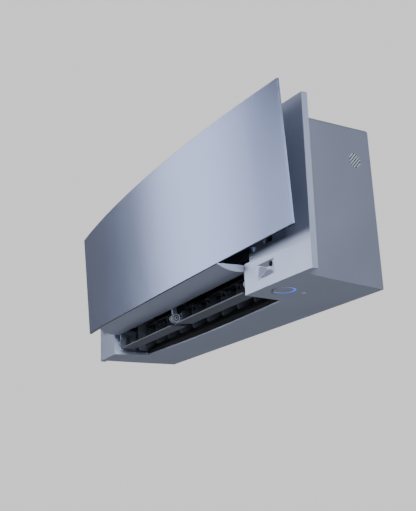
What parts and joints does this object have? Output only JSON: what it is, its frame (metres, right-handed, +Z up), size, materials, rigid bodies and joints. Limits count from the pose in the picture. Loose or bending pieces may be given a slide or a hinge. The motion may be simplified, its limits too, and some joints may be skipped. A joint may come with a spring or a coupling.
{
  "type": "mini split indoor unit",
  "caption": "Wall-mounted split air conditioner indoor unit with a swinging bowed front panel, turning outlet flaps, vertical vanes and a cross-flow fan.",
  "frame": {"origin": "centre of the mounting plate's screw pattern, on the wall plane", "axes": "+X to the right seen from the front, +Y into the wall, +Z up"},
  "size_m": [0.998, 0.236, 0.32],
  "materials": {
    "silver_casing": "satin metallic paint on moulded plastic",
    "silver_panel": "satin metallic silver",
    "flap_grey": "satin moulded plastic",
    "blade_grey": "satin moulded plastic",
    "dark_plastic": "fine grain moulded plastic",
    "vane_grey": "smooth moulded plastic",
    "arm_plastic": "smooth acetal",
    "filter_mesh": "moulded frame with fine net",
    "fan_plastic": "moulded plastic",
    "steel": "turned steel",
    "bearing_rubber": "moulded rubber",
    "motor_case": "plated can",
    "zinc_steel": "galvanised sheet",
    "fin_aluminium": "pressed fins",
    "copper": "drawn copper tube",
    "brass": "turned brass",
    "board_green": "solder mask",
    "terminal_white": "moulded plastic",
    "lamp_lens": "translucent light guide",
    "button_grey": "satin moulded plastic",
    "sensor_black": "polished dark lens"
  },
  "bodies": {
    "root": {"front_casing": "silver_casing", "intake_grille": "dark_plastic", "rear_chassis": "dark_plastic", "drain_pan": "dark_plastic", "centre_bracket": "flap_grey", "vane_rail": "dark_plastic", "panel_drive_left": "dark_plastic", "panel_drive_right": "dark_plastic", "filter_frame": "dark_plastic", "air_filter_left": "filter_mesh", "air_filter_right": "filter_mesh", "fan_bearing": "bearing_rubber", "fan_motor": "motor_case", "motor_clamp": "zinc_steel", "coil_front": "fin_aluminium", "coil_rear": "fin_aluminium", "return_bends": "copper", "liquid_pipe": "copper", "gas_pipe": "copper", "liquid_union": "brass", "gas_union": "brass", "drain_spout": "dark_plastic", "electrical_box": "zinc_steel", "electrical_cover": "zinc_steel", "control_board": "board_green", "terminal_block": "terminal_white", "flap_motor": "motor_case", "vane_motors": "motor_case", "lamp_bezel": "silver_casing", "lamp_ring": "lamp_lens", "display_board": "board_green", "presence_sensor": "sensor_black", "side_grille": "silver_casing", "room_sensor": "terminal_white", "mounting_plate": "zinc_steel", "casing_screws": "steel"},
    "upper_arms": {"upper_arm_left": "arm_plastic", "upper_arm_right": "arm_plastic"},
    "lower_arms": {"lower_arm_left": "arm_plastic", "lower_arm_right": "arm_plastic"},
    "panel": {"front_panel": "silver_panel", "panel_bracket_left": "arm_plastic", "panel_bracket_right": "arm_plastic"},
    "main_flap": {"main_flap": "flap_grey"},
    "lower_flap": {"lower_flap": "blade_grey"},
    "fan": {"fan_wheel": "fan_plastic", "fan_shafts": "steel"},
    "button": {"on_off_button": "button_grey"},
    "vane_link_left": {"vane_link_left": "dark_plastic"},
    "vane_link_right": {"vane_link_right": "dark_plastic"},
    "vane_left_1": {"vane_left_1": "vane_grey"},
    "vane_left_2": {"vane_left_2": "vane_grey"},
    "vane_left_3": {"vane_left_3": "vane_grey"},
    "vane_left_4": {"vane_left_4": "vane_grey"},
    "vane_left_5": {"vane_left_5": "vane_grey"},
    "vane_right_1": {"vane_right_1": "vane_grey"},
    "vane_right_2": {"vane_right_2": "vane_grey"},
    "vane_right_3": {"vane_right_3": "vane_grey"},
    "vane_right_4": {"vane_right_4": "vane_grey"},
    "vane_right_5": {"vane_right_5": "vane_grey"}
  },
  "joints": [
    {"name": "panel_swing", "type": "hinge", "parent": "root", "child": "upper_arms", "pos_m": [0, -0.1466, 0.087], "axis": [1, 0, 0], "range_deg": [0, 39.2]},
    {"name": "panel_tilt", "type": "hinge", "parent": "upper_arms", "child": "panel", "pos_m": [0, -0.185, 0.055], "axis": [1, 0, 0], "range_deg": [-43, 0]},
    {"name": "lower_arm_swing", "type": "hinge", "parent": "root", "child": "lower_arms", "pos_m": [0, -0.1481, 0.0002], "axis": [1, 0, 0], "range_deg": [0, 39.5]},
    {"name": "main_flap_turn", "type": "hinge", "parent": "root", "child": "main_flap", "pos_m": [0, -0.179, -0.119], "axis": [1, 0, 0], "range_deg": [0, 184.2]},
    {"name": "lower_flap_turn", "type": "hinge", "parent": "root", "child": "lower_flap", "pos_m": [0, -0.1705, -0.1115], "axis": [1, 0, 0], "range_deg": [-84.2, 0]},
    {"name": "fan_spin", "type": "hinge", "parent": "root", "child": "fan", "pos_m": [0, -0.08, -0.022], "axis": [1, 0, 0], "continuous": true},
    {"name": "button_press", "type": "slide", "parent": "root", "child": "button", "axis": [0, 0, 1], "range_m": [0, 0.001], "stiffness_N_per_m": 600, "springref_m": -0.001},
    {"name": "vane_link_left_slide", "type": "slide", "parent": "root", "child": "vane_link_left", "axis": [1, 0, 0], "range_m": [-0.0073, 0.0073]},
    {"name": "vane_left_1_turn", "type": "hinge", "parent": "root", "child": "vane_left_1", "pos_m": [-0.035, -0.108, -0.09], "axis": [0, 0, 1], "range_deg": [-28.5, 28.5]},
    {"name": "vane_left_2_turn", "type": "hinge", "parent": "root", "child": "vane_left_2", "pos_m": [-0.101, -0.108, -0.09], "axis": [0, 0, 1], "range_deg": [-28.5, 28.5]},
    {"name": "vane_left_3_turn", "type": "hinge", "parent": "root", "child": "vane_left_3", "pos_m": [-0.167, -0.108, -0.09], "axis": [0, 0, 1], "range_deg": [-28.5, 28.5]},
    {"name": "vane_left_4_turn", "type": "hinge", "parent": "root", "child": "vane_left_4", "pos_m": [-0.233, -0.108, -0.09], "axis": [0, 0, 1], "range_deg": [-28.5, 28.5]},
    {"name": "vane_left_5_turn", "type": "hinge", "parent": "root", "child": "vane_left_5", "pos_m": [-0.299, -0.108, -0.09], "axis": [0, 0, 1], "range_deg": [-28.5, 28.5]},
    {"name": "vane_link_right_slide", "type": "slide", "parent": "root", "child": "vane_link_right", "axis": [1, 0, 0], "range_m": [-0.0073, 0.0073]},
    {"name": "vane_right_1_turn", "type": "hinge", "parent": "root", "child": "vane_right_1", "pos_m": [0.035, -0.108, -0.09], "axis": [0, 0, 1], "range_deg": [-28.5, 28.5]},
    {"name": "vane_right_2_turn", "type": "hinge", "parent": "root", "child": "vane_right_2", "pos_m": [0.101, -0.108, -0.09], "axis": [0, 0, 1], "range_deg": [-28.5, 28.5]},
    {"name": "vane_right_3_turn", "type": "hinge", "parent": "root", "child": "vane_right_3", "pos_m": [0.167, -0.108, -0.09], "axis": [0, 0, 1], "range_deg": [-28.5, 28.5]},
    {"name": "vane_right_4_turn", "type": "hinge", "parent": "root", "child": "vane_right_4", "pos_m": [0.233, -0.108, -0.09], "axis": [0, 0, 1], "range_deg": [-28.5, 28.5]},
    {"name": "vane_right_5_turn", "type": "hinge", "parent": "root", "child": "vane_right_5", "pos_m": [0.299, -0.108, -0.09], "axis": [0, 0, 1], "range_deg": [-28.5, 28.5]}
  ],
  "couplings": [
    {"joint": "panel_tilt", "follows": "panel_swing", "ratio": -1.0883},
    {"joint": "lower_arm_swing", "follows": "panel_swing", "ratio": 1},
    {"joint": "main_flap_turn", "follows": "panel_swing", "ratio": 4.6939},
    {"joint": "lower_flap_turn", "follows": "panel_swing", "ratio": -2.1429},
    {"joint": "vane_left_1_turn", "follows": "vane_link_left_slide", "rad_per_m": 66.3},
    {"joint": "vane_left_2_turn", "follows": "vane_link_left_slide", "rad_per_m": 66.3},
    {"joint": "vane_left_3_turn", "follows": "vane_link_left_slide", "rad_per_m": 66.3},
    {"joint": "vane_left_4_turn", "follows": "vane_link_left_slide", "rad_per_m": 66.3},
    {"joint": "vane_left_5_turn", "follows": "vane_link_left_slide", "rad_per_m": 66.3},
    {"joint": "vane_right_1_turn", "follows": "vane_link_right_slide", "rad_per_m": 66.3},
    {"joint": "vane_right_2_turn", "follows": "vane_link_right_slide", "rad_per_m": 66.3},
    {"joint": "vane_right_3_turn", "follows": "vane_link_right_slide", "rad_per_m": 66.3},
    {"joint": "vane_right_4_turn", "follows": "vane_link_right_slide", "rad_per_m": 66.3},
    {"joint": "vane_right_5_turn", "follows": "vane_link_right_slide", "rad_per_m": 66.3}
  ]
}
